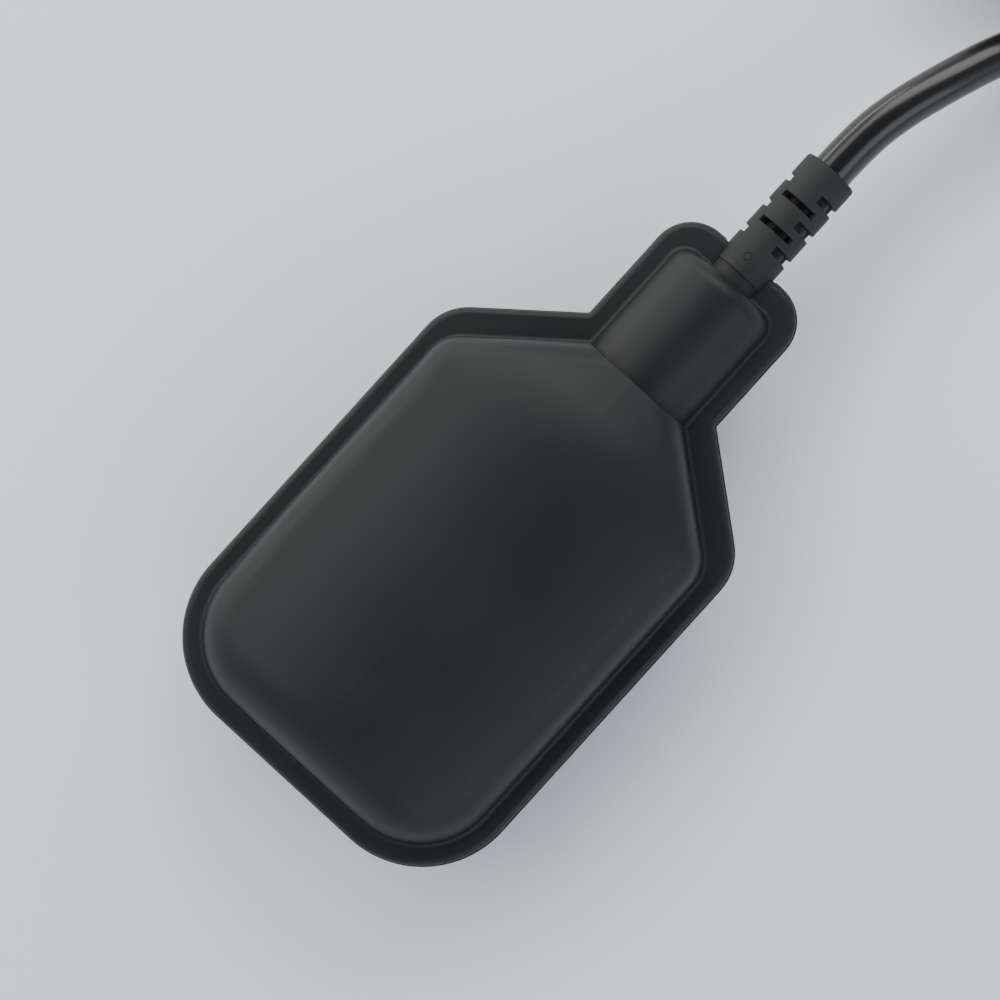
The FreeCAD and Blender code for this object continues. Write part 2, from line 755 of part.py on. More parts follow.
def carrier():
    body = carrier_outline("switch_carrier", "carrier_z", "floor_z")
    # Track walls on three sides, and a low rail under the lever
    outer = "track_end + carrier_wall"
    walls = [("track_start - carrier_wall", "rail_y"), ("track_start", "rail_y"),
             ("track_start", "ball_y + track_reach"), ("track_end", "ball_y + track_reach"),
             ("track_end", "rail_y"), (outer, "rail_y"), (outer, "carrier_front"),
             ("track_start - carrier_wall", "carrier_front")]
    boss(body, walls, "floor_z", "roof_z")
    boss(body, rectangle("track_start - carrier_wall", outer, "rail_y - rail_width", "rail_y"), "floor_z",
         "middle_z - rail_height")
    # Seat and pins of the switch
    boss(body, rectangle("switch_start", "switch_end", "switch_back", "face_y"), "floor_z", "switch_floor_z")
    pin = "switch_hole_diameter / 2"
    for x, y in switch_holes():
        post(body, x, y, pin, "switch_floor_z", "switch_top_z")
    for x, y in screw_places():
        post(body, x, y, "column_diameter / 2", "floor_z", "roof_z")
        drill(body, x, y, "screw_diameter / 2 + screw_clearance", "carrier_z", "roof_z")
    drill(body, "pivot_x", "pivot_y", "pin_radius", "carrier_z", "floor_z")
    keep(body)
    lid = carrier_outline("carrier_lid", "roof_z", "lid_z")
    for x, y in switch_holes():
        post(lid, x, y, "switch_hole_diameter", "switch_top_z", "roof_z")
    for x, y in screw_places():
        drill(lid, x, y, "screw_diameter / 2 + screw_clearance", "roof_z", "lid_z")
    drill(lid, "pivot_x", "pivot_y", "pin_radius", "roof_z", "lid_z")
    keep(lid)
    keep(rod("lever_pin", "Z", "pivot_x", "pivot_y", "carrier_z", "pin_radius", "lid_z - carrier_z"))


def carrier_screws():
    screws = []
    shank = "lid_z - carrier_z + screw_grip"
    for index, (x, y) in enumerate(screw_places()):
        shaft = rod(f"screw_shank_{index}", "Z", x, y, "carrier_z - screw_grip", "screw_diameter / 2", shank)
        head = rod(f"screw_head_{index}", "Z", x, y, "lid_z", "screw_head_diameter / 2", "screw_head_height")
        screws.append(fuse(f"screw_{index}", [shaft, head]))
    group = add("Part::Compound", "carrier_screws")
    group.Links = screws
    keep(group)


# Ball and the lever that it turns

def ball():
    item = add("Part::Sphere", "steel_ball")
    bind(item, "Radius", "ball_radius")
    keep(move(item, "ball_x", "ball_y", "middle_z"))


def lever():
    body = add("PartDesign::Body", "cam_lever")
    low = "-lever_height / 2"
    hub = "hub_diameter / 2"
    face = [cam_place(share, "cam_depth") for share in ("0", "0.5", "1")]
    back = [cam_place(share, "back_depth") for share in ("0", "0.5", "1")]
    along = "cos(lever_swing * 2 * 1 deg)"
    rise = "sin(lever_swing * 2 * 1 deg)"
    tip_face = (f"{face[2][0]} + lever_tip * {along}", f"{face[2][1]} + lever_tip * {rise}")
    tip_back = (f"{back[2][0]} + lever_tip * {along}", f"{back[2][1]} + lever_tip * {rise}")
    arm = [("0", hub), face[0], (*face[1], "via"), face[2], tip_face,
           tip_back, back[2], (*back[1], "via"), back[0], ("0", f"-{hub}")]
    pad(body, outline(sketch(body, "XY_Plane", low), arm), "lever_height")
    reach = "(track_reach - ball_gap)"
    post(body, "0", "0", hub, f"-{reach}", reach)
    drill(body, "0", "0", "pin_radius + pin_clearance", f"-{reach}", reach)
    keep(move(body, "pivot_x", "pivot_y", "middle_z"))


# Snap switch

def switch():
    body = plate("switch_case", rectangle("switch_start", "switch_end", "switch_back", "face_y"),
                 "switch_floor_z", "room_roof_z")
    hollow(body, rectangle("room_start", "room_end", "room_base", "room_top"), "room_floor_z", "room_roof_z")
    for x, y in switch_holes():
        drill(body, x, y, "switch_hole_diameter / 2", "switch_floor_z", "room_roof_z")
    # Slots for the terminals, and the plunger's hole
    half = "terminal_width / 2"
    for x, low, high in terminal_places():
        slot = sketch(body, "XZ_Plane", "-room_base")
        outline(slot, rectangle(f"{x} - {half}", f"{x} + {half}", low, high))
        pocket(body, slot, "2 * (room_base - switch_back)", both_ways=True)
    hole = circle(sketch(body, "XZ_Plane", "-face_y"), "plunger_x", "middle_z",
                  "plunger_radius + plunger_clearance")
    pocket(body, hole, "2 * switch_wall", both_ways=True)
    keep(body)
    cover = plate("switch_cover", rectangle("switch_start", "switch_end", "switch_back", "face_y"),
                  "room_roof_z", "switch_top_z")
    for x, y in switch_holes():
        drill(cover, x, y, "switch_hole_diameter / 2", "room_roof_z", "switch_top_z")
    keep(cover)


def terminal_places():
    # Middle, bottom and top of the common, open and closed terminals
    low = "middle_z - terminal_thickness / 2"
    high = "middle_z + terminal_thickness / 2"
    return [("anchor_x", "room_floor_z", "room_floor_z + terminal_thickness"),
            ("switch_x", low, high),
            ("switch_x + terminal_spacing", low, high)]


def terminals():
    half = "terminal_width / 2"
    common, opened, closed = terminal_places()
    blade = rectangle(f"anchor_x - {half}", f"anchor_x + {half}", "terminal_end", "room_base")
    foot = [("room_start", "room_base"), (f"anchor_x + {half}", "room_base"),
            (f"anchor_x + {half}", "arm_y + arm_thickness"), ("room_start", "arm_y + arm_thickness")]
    body = plate("common_terminal", blade, common[1], common[2])
    boss(body, foot, common[1], common[2])
    post(body, "anchor_x", "arm_y - arm_thickness / 2", "arm_pin_diameter / 2", common[2], "room_roof_z")
    keep(body)
    # The open contact is below the moving one, and the closed contact above it
    seat = "contact_base - opening_gap - contact_gap"
    shelf = [(f"switch_x - {half}", "terminal_end"), (f"switch_x + {half}", "terminal_end"),
             (f"switch_x + {half}", "room_base"), ("contact_x + contact_radius", "room_base"),
             ("contact_x + contact_radius", seat), ("contact_x - contact_radius", seat),
             ("contact_x - contact_radius", f"({seat} + room_base) / 2"),
             (f"switch_x - {half}", f"({seat} + room_base) / 2")]
    keep(plate("open_terminal", shelf, opened[1], opened[2]))
    x = closed[0]
    neck = "room_base - terminal_thickness"
    hook = [(f"{x} - {half}", "terminal_end"), (f"{x} + {half}", "terminal_end"), (f"{x} + {half}", neck),
            ("room_end", neck), ("room_end", "room_top"), ("contact_x - contact_radius", "room_top"),
            ("contact_x - contact_radius", "contact_top + contact_gap"),
            ("leg_start", "contact_top + contact_gap"), ("leg_start", neck), (f"{x} - {half}", neck)]
    keep(plate("closed_terminal", hook, closed[1], closed[2]))


def contact_arm():
    body = add("PartDesign::Body", "contact_arm")
    low = "terminal_thickness + plunger_clearance * 2 - (room_roof_z - room_floor_z) / 2"
    high = "(room_roof_z - room_floor_z) / 2 - plunger_clearance * 2"
    eye = "arm_eye_diameter / 2"
    bore = "arm_pin_diameter / 2 + pin_clearance"
    half = "arm_thickness / 2"
    tip = "arm_reach + contact_radius"
    strip = [("0", f"-{half}"), ("arm_reach - contact_radius", f"-{half}"),
             ("arm_reach - contact_radius", f"-{half} - contact_height"), (tip, f"-{half} - contact_height"),
             (tip, f"{half} + contact_height"), ("arm_reach - contact_radius", f"{half} + contact_height"),
             ("arm_reach - contact_radius", half), ("0", half)]
    pad(body, outline(sketch(body, "XY_Plane", low), strip), f"{high} - ({low})")
    post(body, "0", "0", eye, low, high)
    drill(body, "0", "0", bore, low, high)
    keep(move(body, "anchor_x", "arm_y - arm_thickness / 2", "middle_z"))


def plunger():
    body = add("PartDesign::Body", "switch_plunger")
    radius = "plunger_radius"
    collar = "plunger_radius + plunger_collar"
    foot = "plunger_foot_diameter / 2"
    under = "-switch_wall - plunger_clearance / 2"
    base = "-switch_wall - arm_drop + plunger_clearance"
    profile = [("0", base), (foot, base), (foot, f"{under} - plunger_collar"),
               (collar, f"{under} - plunger_collar"), (collar, under), (radius, under),
               (radius, "plunger_stand - plunger_radius"),
               ("plunger_radius * sqrt(0.5)", "plunger_stand - plunger_radius * (1 - sqrt(0.5))", "via"),
               ("0", "plunger_stand")]
    turn(body, outline(sketch(body, "XY_Plane"), profile), "Y_Axis")
    keep(move(body, "plunger_x", "face_y", "middle_z"))


# Cores and cable

def tube(label, points, diameter):
    # Round tube along straight runs joined by arcs that are as large as their runs allow
    count = len(points)
    edges = []
    radii = []
    here = points[0]
    for before, corner, after in zip(points, points[1:], points[2:]):
        back = before - corner
        ahead = after - corner
        turn = math.pi - back.getAngle(ahead)
        reach = 0.45 * min(back.Length, ahead.Length)
        radii.append(reach / math.tan(turn / 2))
        back.normalize()
        ahead.normalize()
        start = corner + back * reach
        stop = corner + ahead * reach
        inward = back + ahead
        inward.normalize()
        centre = corner + inward * (radii[-1] / math.cos(turn / 2))
        edges.append(Part.LineSegment(here, start).toShape())
        edges.append(Part.Arc(start, centre - inward * radii[-1], stop).toShape())
        here = stop
    edges.append(Part.LineSegment(here, points[count - 1]).toShape())
    path = Part.Wire(edges)
    section = Part.Wire(Part.Circle(points[0], points[1] - points[0], diameter / 2).toShape())
    item = add("Part::Feature", label)
    item.Shape = path.makePipeShell([section], True, False)
    expected = math.pi * diameter ** 2 / 4 * path.Length
    print(f"{label}: length {path.Length:.1f}, radii {[round(radius, 1) for radius in radii]}, "
          f"volume {item.Shape.Volume / expected:.4f} of section times length")
    return keep(item)


def inner_cores():
    # From each terminal round the back of the carrier to the cable's end in the neck, in lanes
    lanes = {"inner_core_brown": -1, "inner_core_black": 0, "inner_core_blue": 1}
    for (label, lane), (x, low, high) in zip(lanes.items(), terminal_places()):
        height = f"({low} + {high}) / 2"
        back = f"(core_pitch * ({lane} + 1) - core_back)"
        front = f"core_spacing * {lane}"
        inlet = f"(cable_end_x - core_lead_in - core_stagger * {lane})"
        turn = f"{inlet} - ({front} - {back}) / tan(core_slant * 1 deg)"
        route = [(x, "terminal_end", height), (x, f"{back} + core_bend", height),
                 (f"{x} + core_bend", back, height), (turn, back, "middle_z"), (inlet, front, "middle_z"),
                 ("cable_end_x", front, "middle_z")]
        tube(label, [spot(*place) for place in route], number("core_diameter"))


# Free cable, from the end of the strain relief: along, across and down, in millimetres
lead_route = [
    (0, 0, 0),
    (9, 0, 0),
    (19, -1.7, -0.7),
    (29.5, -4.8, -2.6),
    (40, -8.2, -5.8),
    (51, -13.2, -9.8),
    (62, -20.8, -13.8),
    (72.8, -31.8, -16.7),
]


def cable():
    exit_place = spot("exit_x", "0", "middle_z")
    tube("cable_lead", [exit_place + FreeCAD.Vector(*step) for step in lead_route], number("cable_diameter"))


# Coil of the length that lies put away, its ties and the stripped end on top of it, at angles round it
tie_angles = (100, 320)
# The tail rises out of the coil: angle, and height of its middle from the coil's top in cable radii
tail_route = [(130, -1), (147, -0.8), (164, -0.2), (181, 0.45), (198, 0.78), (215, 0.8), (232, 0.8)]
# The cores come down onto the coil and fan out: angle, share of the drop that is left, share of spread
core_route = [(252, 0.5, 1.2), (264, 0.1, 1.5), (275, 0, 1.8), (285, 0, 2)]


def coil():
    body = add("PartDesign::Body", "coil_ring")
    section = rectangle("coil_inside", "coil_outside", "0", "coil_height")
    turn(body, outline(sketch(body, "XZ_Plane"), section), "Z_Axis")
    round_edges(body, lambda edge: edge.BoundBox.ZLength < 1e-3, "coil_section_radius")
    move(body, "coil_x", "coil_y", "0")
    ties = []
    for angle in tie_angles:
        outer = tie_block(f"tie_outer_{angle}", angle, "0")
        inner = tie_block(f"tie_inner_{angle}", angle, "tie_thickness")
        strap = cut(f"tie_strap_{angle}", outer, inner)
        ties.append(fuse(f"tie_{angle}", [strap, tie_head(f"tie_head_{angle}", angle)]))
    group = add("Part::Compound", "coil_ties")
    group.Links = ties
    doc.recompute()
    keep(cut("cable_coil", body, group))
    keep(group)


def tie_block(label, angle, inset):
    # Block across the coil's section at an angle, smaller by an inset
    body = add("PartDesign::Body", label)
    section = rectangle(f"coil_inside - tie_stand + {inset}", f"coil_outside + tie_stand - {inset}", inset,
                        f"coil_height + tie_stand - {inset}")
    pad(body, outline(sketch(body, "XZ_Plane", "-tie_width / 2"), section), "tie_width")
    radius = f"coil_section_radius - {inset}"
    round_edges(body, lambda edge: edge.BoundBox.YLength > number("tie_width") - 1e-3, radius)
    move(body, "coil_x", "coil_y", "0")
    body.Placement.Rotation = FreeCAD.Rotation(FreeCAD.Vector(0, 0, 1), angle)
    return body


def tie_head(label, angle):
    # Lock of a tie, on the outer side of the coil
    body = add("PartDesign::Body", label)
    outside = "coil_outside + tie_stand - tie_thickness"
    block = rectangle(outside, f"{outside} + tie_head_depth", "(coil_height - tie_head_length) / 2",
                      "(coil_height + tie_head_length) / 2")
    pad(body, outline(sketch(body, "XZ_Plane", "-tie_head_width / 2"), block), "tie_head_width")
    move(body, "coil_x", "coil_y", "0")
    body.Placement.Rotation = FreeCAD.Rotation(FreeCAD.Vector(0, 0, 1), angle)
    return body


def on_coil(radius, angle, height):
    turn = math.radians(angle)
    centre = spot("coil_x", "coil_y")
    return centre + FreeCAD.Vector(radius * math.cos(turn), radius * math.sin(turn), height)


def stripped_end():
    radius = number("coil_radius")
    top = number("coil_height")
    rise = number("cable_radius")
    tail = [on_coil(radius, angle, top + rise * share) for angle, share in tail_route]
    tube("cable_tail", tail, number("cable_diameter"))
    straight = tail[-1] - tail[-2]
    straight.normalize()
    outward = straight.cross(FreeCAD.Vector(0, 0, 1))
    low = top + number("core_radius")
    drop = rise - number("core_radius")
    strands = []
    for label, lane in (("tail_core_brown", -1), ("tail_core_black", 0), ("tail_core_blue", 1)):
        aside = lane * number("core_spacing")
        start = tail[-1] + outward * aside
        route = [start, start + straight * number("strip_length")]
        for angle, height, spread in core_route:
            route.append(on_coil(radius + aside * spread, angle, low + drop * height))
        tube(label, route, number("core_diameter"))
        strand = add("Part::Feature", f"strand_{lane + 1}")
        along = route[-1] - route[-2]
        thick = number("strand_diameter") / 2
        strand.Shape = Part.makeCylinder(thick, number("strand_length"), route[-1], along)
        strands.append(strand)
    group = add("Part::Compound", "core_strands")
    group.Links = strands
    keep(group)


shells()
strain_relief()
neck_seal()
carrier()
carrier_screws()
ball()
lever()
switch()
terminals()
contact_arm()
plunger()
inner_cores()
cable()
coil()
stripped_end()
doc.recompute()

for item in doc.Objects:
    if "Invalid" in item.State or "Error" in item.State:
        raise RuntimeError(f"{item.Label} failed: {item.State}")
for item in nodes:
    if item.Shape.isNull() or not item.Shape.isValid():
        raise RuntimeError(f"{item.Label} has no valid shape")
os.makedirs("parts", exist_ok=True)
for item in nodes:
    item.Shape.exportStep(os.path.join("parts", f"{item.Label}.step"))
print(f"{len(nodes)} nodes, float {number('float_length'):.1f} long")
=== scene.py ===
import math

import bpy
from mathutils import Matrix, Vector


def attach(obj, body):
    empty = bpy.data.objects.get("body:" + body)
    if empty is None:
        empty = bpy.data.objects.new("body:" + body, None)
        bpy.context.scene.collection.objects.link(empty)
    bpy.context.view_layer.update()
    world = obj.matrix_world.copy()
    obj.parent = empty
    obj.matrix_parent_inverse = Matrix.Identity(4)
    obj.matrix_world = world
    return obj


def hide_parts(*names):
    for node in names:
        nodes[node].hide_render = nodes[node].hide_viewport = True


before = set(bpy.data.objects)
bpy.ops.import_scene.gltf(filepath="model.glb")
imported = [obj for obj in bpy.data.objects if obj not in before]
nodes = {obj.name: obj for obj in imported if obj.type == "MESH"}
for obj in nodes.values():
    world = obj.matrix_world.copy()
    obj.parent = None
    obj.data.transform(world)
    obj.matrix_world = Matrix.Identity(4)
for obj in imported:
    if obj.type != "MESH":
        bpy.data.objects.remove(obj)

millimetre = 0.001
upward = Vector((0, 0, 1))
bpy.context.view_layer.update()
print("frame loaded:", len(nodes), "solids")


# sRGB hex to the linear colour that the shaders take
def colour(code):
    parts = [int(code[i:i + 2], 16) / 255 for i in (1, 3, 5)]
    linear = [c / 12.92 if c <= 0.04045 else ((c + 0.055) / 1.055) ** 2.4 for c in parts]
    return (*linear, 1)


# Scale of a texture whose features are this many millimetres across
def grain(size):
    return 1 / (size * millimetre)


# One node of a material, with its settings and what it is linked to
def addNode(tree, kind, settings=None, links=None):
    node = tree.nodes.new(kind)
    for name, value in (settings or {}).items():
        if name in node.inputs:
            node.inputs[name].default_value = value
        else:
            setattr(node, name, value)
    for name, source in (links or {}).items():
        tree.links.new(source, node.inputs[name])
    return node


def addObject(name, data):
    piece = bpy.data.objects.new(name, data)
    bpy.context.scene.collection.objects.link(piece)
    return piece


# What a material has unless its own look says otherwise
plainLook = {"cloudDetail": 4, "grainDetail": 3, "toneStops": (0.3, 0.7), "edgeMm": 0.1, "edgeSamples": 4}


# Material with two tones in soft clouds, a roughness that follows them, a fine grain and eased edges
def surface(name, ownLook):
    look = {**plainLook, **ownLook}
    material = bpy.data.materials.new(name)
    material.use_nodes = True
    tree = material.node_tree
    shader = tree.nodes["Principled BSDF"]
    for socket, value in look["sockets"].items():
        shader.inputs[socket].default_value = value
    place = addNode(tree, "ShaderNodeTexCoord").outputs["Object"]
    if "stretch" in look:
        stretch = addNode(tree, "ShaderNodeMapping", {"Scale": look["stretch"]}, {"Vector": place})
        place = stretch.outputs["Vector"]
    clouds = addNode(tree, "ShaderNodeTexNoise",
                     {"Scale": grain(look["cloudMm"]), "Detail": look["cloudDetail"]}, {"Vector": place})
    tones = addNode(tree, "ShaderNodeValToRGB", links={"Fac": clouds.outputs["Fac"]})
    for stop, code, at in zip(tones.color_ramp.elements, look["tones"], look["toneStops"]):
        stop.color = colour(code)
        stop.position = at
    low, high = look["roughness"]
    gloss = addNode(tree, "ShaderNodeMapRange", {"To Min": low, "To Max": high},
                    {"Value": clouds.outputs["Fac"]})
    grit = addNode(tree, "ShaderNodeTexNoise",
                   {"Scale": grain(look["grainMm"]), "Detail": look["grainDetail"]}, {"Vector": place})
    edge = addNode(tree, "ShaderNodeBevel",
                   {"samples": look["edgeSamples"], "Radius": look["edgeMm"] * millimetre})
    bump = addNode(tree, "ShaderNodeBump",
                   {"Strength": look["grainStrength"], "Distance": look["grainDepthMm"] * millimetre},
                   {"Height": grit.outputs["Fac"], "Normal": edge.outputs["Normal"]})
    tree.links.new(tones.outputs["Color"], shader.inputs["Base Color"])
    tree.links.new(gloss.outputs["Result"], shader.inputs["Roughness"])
    tree.links.new(bump.outputs["Normal"], shader.inputs["Normal"])
    return material


looks = {
    # Black polypropylene from a spark-eroded mould: satin, with a fine grain
    "mouldedPolypropylene": {
        "tones": ("#16181a", "#1c1f20"), "cloudMm": 26, "roughness": (0.46, 0.52), "edgeMm": 0.25,
        "grainMm": 0.5, "grainDepthMm": 0.03, "grainStrength": 0.25,
        "sockets": {"IOR": 1.49, "Specular IOR Level": 0.3},
    },
    # Black rubber sleeve moulded round the cable: dull, slightly paler than the float
    "mouldedRubber": {
        "tones": ("#1b1c1d", "#242527"), "cloudMm": 6, "roughness": (0.58, 0.68), "edgeMm": 0.2,
        "grainMm": 0.4, "grainDepthMm": 0.03, "grainStrength": 0.3,
        "sockets": {"IOR": 1.5, "Specular IOR Level": 0.35},
    },
    # Extruded cable jacket: smooth and glossy
    "extrudedJacket": {
        "tones": ("#090a0b", "#0e0f10"), "cloudMm": 14, "roughness": (0.2, 0.26),
        "grainMm": 1.2, "grainDepthMm": 0.01, "grainStrength": 0.15,
        "sockets": {"IOR": 1.52, "Specular IOR Level": 0.52},
    },
    # The same jacket inside the sleeve, with little reflection and more roughness: painted shade that
    # keeps the sleeve's slots dark
    "slotShadeJacket": {
        "tones": ("#090a0b", "#0e0f10"), "cloudMm": 5, "roughness": (0.4, 0.48),
        "grainMm": 0.6, "grainDepthMm": 0.02, "grainStrength": 0.2,
        "sockets": {"IOR": 1.52, "Specular IOR Level": 0.15},
    },
    # Potting resin: dark and glassy, with slow ripples
    "castResin": {
        "tones": ("#141516", "#1c1d1e"), "cloudMm": 5, "roughness": (0.15, 0.25),
        "grainMm": 3, "grainDepthMm": 0.05, "grainStrength": 0.2, "sockets": {"IOR": 1.55},
    },
    # Turned brass ring: yellow, with fine tool lines round it
    "turnedBrass": {
        "tones": ("#b08c4a", "#c8a45e"), "cloudMm": 4, "roughness": (0.25, 0.36),
        "stretch": (1, 0.08, 0.08),
        "grainMm": 0.2, "grainDepthMm": 0.01, "grainStrength": 0.4, "sockets": {"Metallic": 1},
    },
    # Natural uncoloured plastic of the carrier: cream and waxy
    "naturalPlastic": {
        "tones": ("#dcd8c8", "#e6e2d4"), "cloudMm": 15, "roughness": (0.42, 0.5), "edgeMm": 0.15,
        "grainMm": 0.5, "grainDepthMm": 0.02, "grainStrength": 0.2,
        "sockets": {"IOR": 1.5, "Subsurface Weight": 0.1, "Subsurface Radius": (0.002, 0.0015, 0.001)},
    },
    # Zinc plated steel of the screws and pin: pale grey, slightly cloudy
    "zincSteel": {
        "tones": ("#a2a4a8", "#b6b8bc"), "cloudMm": 2, "roughness": (0.28, 0.4),
        "grainMm": 0.3, "grainDepthMm": 0.01, "grainStrength": 0.3, "sockets": {"Metallic": 1},
    },
    # Ground steel ball: bright, with faint smears of oil
    "groundSteel": {
        "tones": ("#b4b5b8", "#c0c1c4"), "cloudMm": 8, "roughness": (0.06, 0.14),
        "grainMm": 0.4, "grainDepthMm": 0.002, "grainStrength": 0.2, "sockets": {"Metallic": 1},
    },
    # White acetal of the lever: smooth and slightly translucent
    "whiteAcetal": {
        "tones": ("#e8e8e2", "#f0f0ea"), "cloudMm": 10, "roughness": (0.35, 0.42), "edgeMm": 0.15,
        "grainMm": 0.6, "grainDepthMm": 0.01, "grainStrength": 0.2,
        "sockets": {"IOR": 1.48, "Subsurface Weight": 0.15, "Subsurface Radius": (0.002, 0.002, 0.0015)},
    },
    # Black thermoset of the switch case: hard, even and slightly dusty
    "blackThermoset": {
        "tones": ("#1d1d1f", "#272729"), "cloudMm": 5, "roughness": (0.4, 0.5),
        "grainMm": 0.3, "grainDepthMm": 0.02, "grainStrength": 0.25, "sockets": {"IOR": 1.55},
    },
    # Thermoset of the switch cover: hard, brownish red, with a slight shine
    "redThermoset": {
        "tones": ("#5c1d16", "#6c261d"), "cloudMm": 5, "roughness": (0.38, 0.46),
        "grainMm": 0.3, "grainDepthMm": 0.02, "grainStrength": 0.25, "sockets": {"IOR": 1.55},
    },
    # Red acetal of the switch's button: clear red and smooth
    "redAcetal": {
        "tones": ("#a8231b", "#b92c22"), "cloudMm": 3, "roughness": (0.32, 0.4),
        "grainMm": 0.4, "grainDepthMm": 0.01, "grainStrength": 0.2, "sockets": {"IOR": 1.48},
    },
    # Stamped brass of the terminals and contact arm: rolled sheet, lightly tarnished
    "stampedBrass": {
        "tones": ("#a9884c", "#c7a764"), "cloudMm": 3, "roughness": (0.28, 0.4), "stretch": (1, 0.15, 1),
        "grainMm": 0.25, "grainDepthMm": 0.01, "grainStrength": 0.35, "sockets": {"Metallic": 1},
    },
    # Insulation of the cores: smooth extruded plastic in the three wiring colours
    "brownInsulation": {
        "tones": ("#553018", "#633a1f"), "cloudMm": 6, "roughness": (0.3, 0.38),
        "grainMm": 0.8, "grainDepthMm": 0.01, "grainStrength": 0.2, "sockets": {"IOR": 1.53},
    },
    "blackInsulation": {
        "tones": ("#161617", "#1f1f20"), "cloudMm": 6, "roughness": (0.3, 0.38),
        "grainMm": 0.8, "grainDepthMm": 0.01, "grainStrength": 0.2, "sockets": {"IOR": 1.53},
    },
    "blueInsulation": {
        "tones": ("#1b4a96", "#2356a6"), "cloudMm": 6, "roughness": (0.3, 0.38),
        "grainMm": 0.8, "grainDepthMm": 0.01, "grainStrength": 0.2, "sockets": {"IOR": 1.53},
    },
    # Bare copper strands: warm and bright
    "bareCopper": {
        "tones": ("#b4673f", "#cf8156"), "cloudMm": 1.5, "roughness": (0.2, 0.34),
        "grainMm": 0.2, "grainDepthMm": 0.005, "grainStrength": 0.3, "sockets": {"Metallic": 1},
    },
    # Black nylon of the ties: satin strap
    "blackNylon": {
        "tones": ("#151516", "#1e1e1f"), "cloudMm": 4, "roughness": (0.36, 0.46), "edgeMm": 0.2,
        "grainMm": 0.5, "grainDepthMm": 0.02, "grainStrength": 0.25, "sockets": {"IOR": 1.53},
    },
}
materials = {name: surface(name, look) for name, look in looks.items()}
dress = {
    "mouldedPolypropylene": ["upper_shell", "lower_shell"],
    "mouldedRubber": ["strain_relief"],
    # The cable inside the sleeve takes the jacket with the painted shade of the slots
    "slotShadeJacket": ["cable_in_neck"],
    "castResin": ["resin_plug"],
    "turnedBrass": ["grip_ring"],
    "naturalPlastic": ["switch_carrier", "carrier_lid"],
    "zincSteel": ["lever_pin", "carrier_screws"],
    "groundSteel": ["steel_ball"],
    "whiteAcetal": ["cam_lever"],
    "blackThermoset": ["switch_case"],
    "redThermoset": ["switch_cover"],
    "redAcetal": ["switch_plunger"],
    "stampedBrass": ["common_terminal", "open_terminal", "closed_terminal", "contact_arm"],
    "brownInsulation": ["inner_core_brown"],
    "blackInsulation": ["inner_core_black"],
    "blueInsulation": ["inner_core_blue"],
    "blackNylon": ["coil_ties"],
}
for name, dressed in dress.items():
    for node in dressed:
        mesh = nodes[node].data
        mesh.materials.clear()
        mesh.materials.append(materials[name])
print("materials:", len(materials))

# Smoothness of the tubes: steps round thick and thin ones, and steps from point to point
smooth = {"thickFrom": 2, "roundThick": 8, "roundThin": 3, "along": 12}


# Round curve along lists of points in millimetres
def tube(name, lines, diameter, material, kind="NURBS", closed=False):
    curve = bpy.data.curves.new(name, "CURVE")
    curve.dimensions = "3D"
    curve.bevel_depth = diameter / 2 * millimetre
    curve.bevel_resolution = smooth["roundThick" if diameter > smooth["thickFrom"] else "roundThin"]
    curve.resolution_u = smooth["along"]
    curve.use_fill_caps = True
    for line in lines:
        spline = curve.splines.new(kind)
        spline.points.add(len(line) - 1)
        for point, place in zip(spline.points, line):
            point.co = (*(Vector(place) * millimetre), 1)
        spline.use_cyclic_u = closed
        if kind == "NURBS":
            spline.order_u = 3
            spline.use_endpoint_u = True
    curve.materials.append(materials[material])
    piece = addObject(name, curve)
    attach(piece, "float")
    return piece


# Free cable, in millimetres: its route from the strain relief, its turns in the coil and the tail on top
cable = {
    "diameter": 8.6,
    "length": 1.9,  # in metres, with the end in the neck and the stripped end
    "exit": (94.3, 0, 21),
    "route": [(0, 0, 0), (9, 0, 0), (19, -1.7, -0.7), (29.5, -4.8, -2.6), (40, -8.2, -5.8),
              (51, -13.2, -9.8), (62, -20.8, -13.8), (72.8, -31.8, -16.7)],  # from the exit
    "coilCentre": (203, 2), "coilRadius": 46, "coilTop": 25.8,
    "lanes": [(50.3, 4.3), (41.7, 4.3), (41.7, 12.9), (50.3, 12.9), (50.3, 21.5), (41.7, 21.5)],
    "firstAngle": 243, "pointsPerTurn": 16, "points": 91,
    "firstCrossing": 560, "crossingStep": 350, "crossingSpan": 50,
    # Angle, and height over the coil in radii of the cable
    "tail": [(130, -1), (147, -0.8), (164, -0.2), (181, 0.45), (198, 0.78), (215, 0.8), (232, 0.8)],
}
cableRadius = cable["diameter"] / 2
# The spline runs inside the points of a turn, so they stand out by this much
swell = 1 / math.cos(math.pi / cable["pointsPerTurn"])


def onCoil(radius, angle, height):
    turn = math.radians(angle)
    x, y = cable["coilCentre"]
    return Vector((x + radius * math.cos(turn), y + radius * math.sin(turn), height))


# Point of the coiled cable, which eases from lane to lane as its angle grows
def coilPoint(angle):
    radius, height = cable["lanes"][0]
    for i, (lane, following) in enumerate(zip(cable["lanes"], cable["lanes"][1:])):
        past = angle - cable["firstCrossing"] - cable["crossingStep"] * i
        share = min(max(past / cable["crossingSpan"] + 1, 0), 1)
        share = share * share * (3 - 2 * share)
        radius += (following[0] - lane[0]) * share
        height += (following[1] - lane[1]) * share
    return onCoil(radius * swell, angle, height)


tailLine = [onCoil(cable["coilRadius"], angle, cable["coilTop"] + cableRadius * share)
            for angle, share in cable["tail"]]
step = 360 / cable["pointsPerTurn"]
cableLine = [Vector(cable["exit"]) + Vector(place) for place in cable["route"]]
cableLine += [coilPoint(cable["firstAngle"] + step * i) for i in range(cable["points"])]
cableLine += tailLine
lead = tube("cable", [cableLine], cable["diameter"], "extrudedJacket")
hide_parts("cable_lead", "cable_coil", "cable_tail")
print("cable laid")

